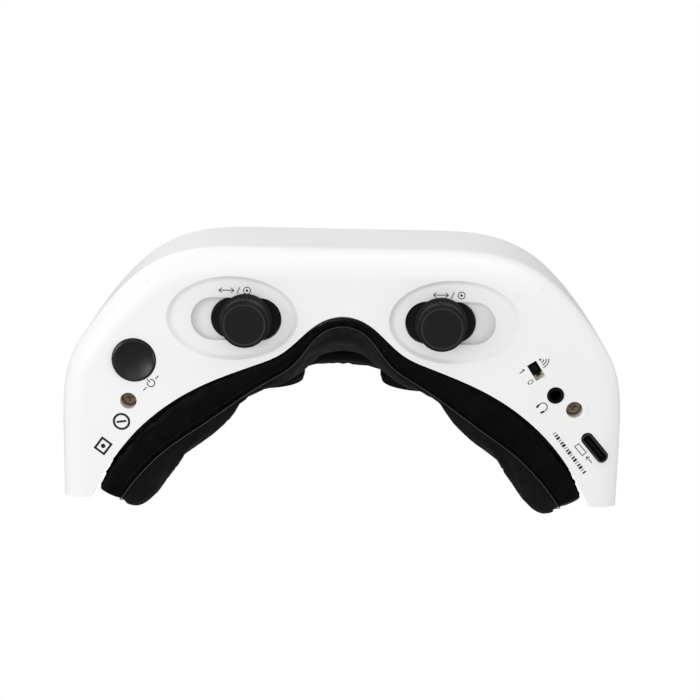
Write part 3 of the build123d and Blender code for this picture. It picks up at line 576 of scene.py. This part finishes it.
# ---- power button ----
# A round button with a shallow bowl for the fingertip, polished black, in a hole with a hairline gap.
button_centre = -0.0696, -0.0072
bowl_edge = 0.0064, 0.0067
polished = Finish("polished_black", Specular_IOR_Level=1.0)
wipe = polished.noise(0.0035, detail=4.0)
bowl = 1 - polished.between(polished.around(*button_centre), *bowl_edge)
polished.set(
    Base_Color=polished.blend(wipe, (0.0030, 0.0030, 0.0032), (0.0055, 0.0055, 0.0058)),
    Roughness=0.34 + 0.08 * wipe + 0.05 * bowl,
    Normal=polished.bump(wipe, 0.00002, 0.3),
)
dress(polished, "power_button")

# ---- face foam ----
# A ring of foam around the eye opening.  Its outer band is black leatherette that starts at the
# rim of the housing; the face side is fabric, and a grey thread closes the seam between them.
# Each station holds five points across the ring: rim, seam, crown, inner rear and inner front.
stations = (
    ((0, -23.0, 8.6), (0, -21.3, 9.4), (0, -10.2, 22), (0, -6.6, 29.3), (0, -14.2, 30)),
    ((10.2, -19.9, 8.6), (8.7, -17.5, 9.3), (8.8, -7.8, 20), (8.2, -4.8, 27.4), (8.2, -13.2, 28)),
    ((16.6, -13.0, 8.6), (13.2, -10.2, 9.2), (14.2, -2.6, 17), (13.8, -1.2, 24.8), (12.6, -10.2, 25.6)),
    ((20.4, -9.8, 8.6), (17.5, -5.1, 9.2), (19.4, 1.2, 15.5), (19.0, 2.2, 21.2), (17.6, -8.0, 22.2)),
    ((24.8, -7.7, 8.6), (22.3, -2.1, 9.2), (24.6, 3.4, 14.5), (24.4, 4.4, 19.2), (23.0, -5.4, 20.2)),
    ((32.6, -5.0, 8.6), (29.8, 2.3, 9.2), (30.4, 5.2, 14), (31.0, 6.0, 19.0), (31.0, -2.6, 20.2)),
    ((45.4, 0.3, 8.8), (40.2, 10.3, 9.2), (37.9, 14.6, 14), (38.6, 14.0, 19.4), (41.0, 2.2, 20.4)),
    ((56.2, 6.6, 8.9), (49.2, 16.9, 9.2), (46.0, 21.8, 14), (46.4, 20.8, 19.8), (49.6, 6.4, 20.6)),
    ((66.0, 15.0, 9.1), (58.2, 23.0, 9.2), (53.0, 28.6, 14.4), (53.2, 27.6, 20.2), (56.2, 12.0, 20.8)),
    ((73.3, 22.9, 9.3), (64.7, 29.2, 9.3), (58.4, 34.4, 14.6), (58.0, 33.2, 20.8), (61.2, 17.4, 21.4)),
    ((79.6, 31.2, 9.4), (70.9, 36.2, 9.4), (62.4, 41.4, 14.8), (61.6, 38.6, 21.8), (64.6, 21.6, 22.4)),
    ((83.2, 38.2, 9.5), (75.0, 42.6, 9.6), (68.2, 47.2, 14.6), (63.4, 42.2, 23.4), (66.0, 23.4, 24.0)),
    ((83.4, 38.8, 14.5), (75.6, 43.2, 14.5), (70.2, 46.8, 20), (64.8, 42.4, 26.0), (66.4, 23.2, 27.0)),
    ((83.0, 38.2, 26), (75.4, 42.6, 26), (70.4, 45.7, 30), (65.2, 42.2, 33.0), (66.6, 22.8, 33.0)),
    ((83.0, 38.6, 40), (75.4, 43.0, 40), (70.4, 45.8, 40), (65.2, 42.4, 40.0), (66.6, 23.0, 40.0)),
    ((82.6, 38.8, 50), (75.2, 43.2, 50), (70.0, 45.8, 46.5), (64.8, 42.2, 45.6), (66.2, 24.0, 45.8)),
    ((80.6, 37.2, 57.5), (73.6, 41.8, 57.0), (68.0, 44.6, 52.6), (62.6, 39.8, 49.4), (64.6, 23.6, 49.8)),
    ((73.6, 29.0, 60.2), (68.2, 36.2, 59.6), (62.8, 39.4, 55.2), (59.0, 34.6, 51.2), (60.4, 19.4, 51.4)),
    ((61.0, 18.8, 61.8), (57.6, 28.0, 61.2), (54.0, 31.4, 56.6), (52.0, 27.4, 52.2), (53.2, 14.2, 52.2)),
    ((46.0, 9.6, 63.0), (44.2, 20.2, 62.4), (42.6, 23.4, 57.8), (41.4, 19.8, 53.2), (42.6, 8.8, 53.0)),
    ((30.0, 2.9, 63.8), (29.4, 12.6, 63.2), (29.0, 15.6, 58.8), (28.4, 12.6, 54.0), (28.6, 2.2, 53.8)),
    ((15.0, -0.2, 63.9), (14.8, 6.6, 63.4), (14.6, 8.6, 59.4), (14.2, 6.4, 54.8), (14.4, -1.6, 54.4)),
    ((0, -1.4, 63.9), (0, 3.4, 63.4), (0, 5.6, 59.6), (0, 4.0, 55.2), (0, -2.8, 54.8)),
)
ring_stations = list(stations)
for station in reversed(stations[1:-1]):
    ring_stations.append(tuple((-x, y, z) for x, y, z in station))


def across(station):
    """The points around one section of the foam: band, seam, cushion, and the side at the housing."""
    rim, seam, crown_point, rear, front = (Vector(point) * MM for point in station)
    middle = (rim + seam + rear + front) / 4

    def swell(first, second, share, by):
        point = first.lerp(second, share)
        return point + (point - middle).normalized() * by * MM

    return [rim, swell(rim, seam, 0.4, 0.9), seam, swell(seam, crown_point, 0.5, 1.1), crown_point,
            swell(crown_point, rear, 0.5, 0.6), rear, swell(rear, front, 0.5, 0.0), front,
            front.lerp(rim, 0.5)]


sewn_points = 0, 2, 8, 9
seam_point = 2
seam_crease = 0.55
cage = bmesh.new()
sewn_in = cage.verts.layers.deform.verify()
crease = cage.edges.layers.float.new("crease_edge")
chart = cage.loops.layers.uv.new("cloth")
section_points = 10
sections = []
charts = {}
along = 0.0
for number, station in enumerate(ring_stations):
    points = across(station)
    loop = [cage.verts.new(point) for point in points]
    if number:
        along += (points[seam_point] - Vector(ring_stations[number - 1][1]) * MM).length
    reach = [(points[i] - points[i - 1]).length for i in range(section_points)]
    offsets = [-reach[1] - reach[2], -reach[2], 0.0]
    for i in range(3, section_points):
        offsets.append(offsets[-1] + reach[i])
    for i, vertex in enumerate(loop):
        vertex[sewn_in][0] = 1.0 if i in sewn_points else 0.0
        charts[vertex] = (number, i, along, offsets[i])
    sections.append([cage.edges.new((loop[i], loop[(i + 1) % section_points])) for i in range(section_points)])
round_length = along + (Vector(ring_stations[-1][1]) - Vector(ring_stations[0][1])).length * MM
for number, section in enumerate(sections):
    bmesh.ops.bridge_loops(cage, edges=section + sections[(number + 1) % len(sections)])
for face in cage.faces:
    places = [charts[corner.vert] for corner in face.loops]
    numbers = [place[0] for place in places]
    last = max(numbers) == len(ring_stations) - 1 and min(numbers) == 0
    levels = {place[1] for place in places}
    face.material_index = 0 if levels in ({0, 1}, {1, 2}) else 1
    face.smooth = True
    for corner, (number, level, u, v) in zip(face.loops, places):
        if last and number == 0:
            u = round_length
        if levels == {0, section_points - 1} and level == 0:
            v = places[0][3] if places[0][1] else places[2][3]
        corner[chart].uv = (u, v)
for edge in cage.edges:
    if {charts[edge.verts[0]][1], charts[edge.verts[1]][1]} == {seam_point}:
        edge[crease] = seam_crease
bmesh.ops.recalc_face_normals(cage, faces=cage.faces)
ring_mesh = bpy.data.meshes.new("foam_ring")
cage.to_mesh(ring_mesh)
cage.free()
ring = bpy.data.objects.new("foam_ring", ring_mesh)
bpy.context.scene.collection.objects.link(ring)
ring.vertex_groups.new(name="sewn")
finer = ring.modifiers.new("finer", "SUBSURF")
finer.levels = finer.render_levels = 2


def settled(piece):
    """The mesh of a piece with its modifiers applied."""
    bpy.context.view_layer.update()
    ready = piece.evaluated_get(bpy.context.evaluated_depsgraph_get())
    return bpy.data.meshes.new_from_object(ready, preserve_all_data_layers=True,
                                           depsgraph=bpy.context.evaluated_depsgraph_get())


ring_mesh = settled(ring)
ring.modifiers.clear()
ring.data = ring_mesh
last_step = 20
most_swelling = 1.6 * MM
cut_shape = [point.co.copy() for point in ring_mesh.vertices]
cloth = ring.modifiers.new("cloth", "CLOTH")
cloth.settings.quality = 8
cloth.settings.mass = 0.2
cloth.settings.tension_stiffness = 18
cloth.settings.compression_stiffness = 18
cloth.settings.shear_stiffness = 8
cloth.settings.bending_stiffness = 0.4
cloth.settings.shrink_min = -0.035
cloth.settings.use_pressure = True
cloth.settings.uniform_pressure_force = 4
cloth.settings.vertex_group_mass = "sewn"
cloth.settings.effector_weights.gravity = 0
cloth.collision_settings.use_collision = False
for step in range(1, last_step + 1):
    bpy.context.scene.frame_set(step)
ring_mesh = settled(ring)
ring.modifiers.clear()
ring.data = ring_mesh
bpy.context.scene.frame_set(1)
for point, before in zip(ring_mesh.vertices, cut_shape):
    moved = point.co - before
    if moved.length > most_swelling:
        point.co = before + moved.normalized() * most_swelling

foam = bmesh.new()
foam.from_mesh(ring.data)
bpy.data.objects.remove(ring)
chart = foam.loops.layers.uv["cloth"]
seam_edges = [edge for edge in foam.edges if {face.material_index for face in edge.link_faces} == {0, 1}
              and all(abs(corner[chart].uv.y) < 0.0002 for v in edge.verts for corner in v.link_loops)]
seam_line = list(seam_edges[0].verts)
links = {}
for edge in seam_edges:
    for vertex in edge.verts:
        links.setdefault(vertex, []).append(edge.other_vert(vertex))
while True:
    onward = [v for v in links[seam_line[-1]] if v is not seam_line[-2]]
    if not onward or onward[0] is seam_line[0]:
        break
    seam_line.append(onward[0])
seam_run = [(v.co.copy(), v.normal.copy()) for v in seam_line]


def foam_part(mesh, name, finish):
    """Makes a piece of the face foam out of a mesh."""
    mesh.name = name
    mesh.materials.clear()
    mesh.materials.append(finish.material)
    for face in mesh.polygons:
        face.material_index = 0
        face.use_smooth = True
    piece = bpy.data.objects.new(name, mesh)
    bpy.context.scene.collection.objects.link(piece)
    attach(piece, "headset")
    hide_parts("face_foam")
    return piece


def cut_out(shape, name, finish):
    """Makes a piece of the face foam out of a bmesh."""
    mesh = bpy.data.meshes.new(name)
    shape.to_mesh(mesh)
    shape.free()
    return foam_part(mesh, name, finish)


leatherette = Finish("leatherette", Specular_IOR_Level=0.12)
pores = leatherette.between(leatherette.cells(1 / 1300), 0.0, 0.12)
along_cloth, across_cloth, _ = leatherette.parts(leatherette.unwrapped)
stretched = leatherette.node("ShaderNodeCombineXYZ", {}, {0: along_cloth * 60.0, 1: across_cloth * 420.0})
creases = leatherette.node("ShaderNodeTexNoise", {}, {"Vector": stretched, "Scale": 1.0, "Detail": 3.0})
fold_line = 1 - leatherette.between(abs(across_cloth + 0.0021), 0.00010, 0.00035)
soft_dents = leatherette.noise(0.012, detail=2.0)
leatherette.set(
    Base_Color=leatherette.blend(soft_dents, (0.0016, 0.0013, 0.0014), (0.0042, 0.0038, 0.0040)),
    Roughness=0.40 + 0.12 * creases + 0.05 * pores,
    Normal=leatherette.bump(0.12 * pores + 1.0 * creases + 1.0 * soft_dents - 0.8 * fold_line, 0.0008, 0.5),
)
band_lift = 0.12 * MM
band_thickness = 0.5 * MM
band = foam.copy()
bmesh.ops.delete(band, geom=[face for face in band.faces if face.material_index], context="FACES")
bmesh.ops.recalc_face_normals(band, faces=band.faces)
band.normal_update()
for vertex in band.verts:
    vertex.co += vertex.normal * band_lift
bmesh.ops.solidify(band, geom=band.faces[:], thickness=band_thickness)
cut_out(band, "foam_band_leatherette", leatherette)

fabric = Finish("cushion_fabric", Specular_IOR_Level=0.04, Sheen_Weight=0.05, Sheen_Roughness=0.5)
thread_u, thread_v, _ = fabric.parts(fabric.unwrapped)
warp = fabric.node("ShaderNodeMath", {"operation": "SINE"}, {0: thread_u * 7800.0})
weft = fabric.node("ShaderNodeMath", {"operation": "SINE"}, {0: thread_v * 7800.0})
weave = 0.5 + 0.5 * warp * weft
fluff = fabric.noise(0.0035, detail=4.0)
fabric.set(
    Base_Color=fabric.blend(weave * 0.7 + 0.3 * fluff, (0.0022, 0.0024, 0.0025), (0.0095, 0.0104, 0.0108)),
    Roughness=0.82,
    Normal=fabric.bump(0.4 * weave + 1.2 * fluff, 0.00035, 0.4),
)
cut_out(foam, "foam_cushion", fabric)

# ---- foam seam ----
# A thin piping lies in the seam between leatherette and fabric, with a grey thread sewn along it;
# a tail of the thread sticks out at each temple, where the seam turns upward.
thread_finish = Finish("grey_thread", Specular_IOR_Level=0.15)
ply = thread_finish.noise(0.0006, detail=3.0)
thread_finish.set(
    Base_Color=thread_finish.blend(ply, (0.035, 0.037, 0.04), (0.11, 0.115, 0.12)),
    Roughness=0.75,
    Normal=thread_finish.bump(ply, 0.0001, 0.5),
)
piping_radius, piping_out = 0.42 * MM, 0.10 * MM
thread_radius, thread_out = 0.11 * MM, 0.47 * MM
tail_radius = 0.16 * MM


def sewn(name, runs, radius, finish, closed):
    """Makes threads or cords of one radius that follow runs of points."""
    curve = bpy.data.curves.new(name, "CURVE")
    curve.dimensions = "3D"
    curve.bevel_depth = radius
    curve.bevel_resolution = 1
    curve.resolution_u = 2
    for run in runs:
        spline = curve.splines.new("NURBS")
        spline.points.add(len(run) - 1)
        for point, place in zip(spline.points, run):
            point.co = (*place, 1.0)
        spline.order_u = 3
        spline.use_cyclic_u = closed
        spline.use_endpoint_u = not closed
    draft = bpy.data.objects.new(name + "_draft", curve)
    bpy.context.scene.collection.objects.link(draft)
    mesh = settled(draft)
    bpy.data.objects.remove(draft)
    foam_part(mesh, name, finish)


piping_run = [place + out * piping_out for place, out in seam_run]
thread_run = [place + out * thread_out for place, out in seam_run]
sewn("foam_piping", [piping_run], piping_radius, leatherette, True)
sewn("seam_thread", [thread_run], thread_radius, thread_finish, True)
tails = []
for side in (-1, 1):
    start = max((place for place, _ in seam_run if place.x * side > 0 and place.z < 10.5 * MM),
                key=lambda place: place.y)
    tails.append([start, start + Vector((side * 0.3, 0.5, -0.4)) * MM, start + Vector((side * 0.9, 0.7, -0.4)) * MM,
                  start + Vector((side * 0.4, 1.3, -0.2)) * MM, start + Vector((-side * 0.4, 1.2, 0.0)) * MM])
sewn("thread_tails", tails, tail_radius, thread_finish, False)
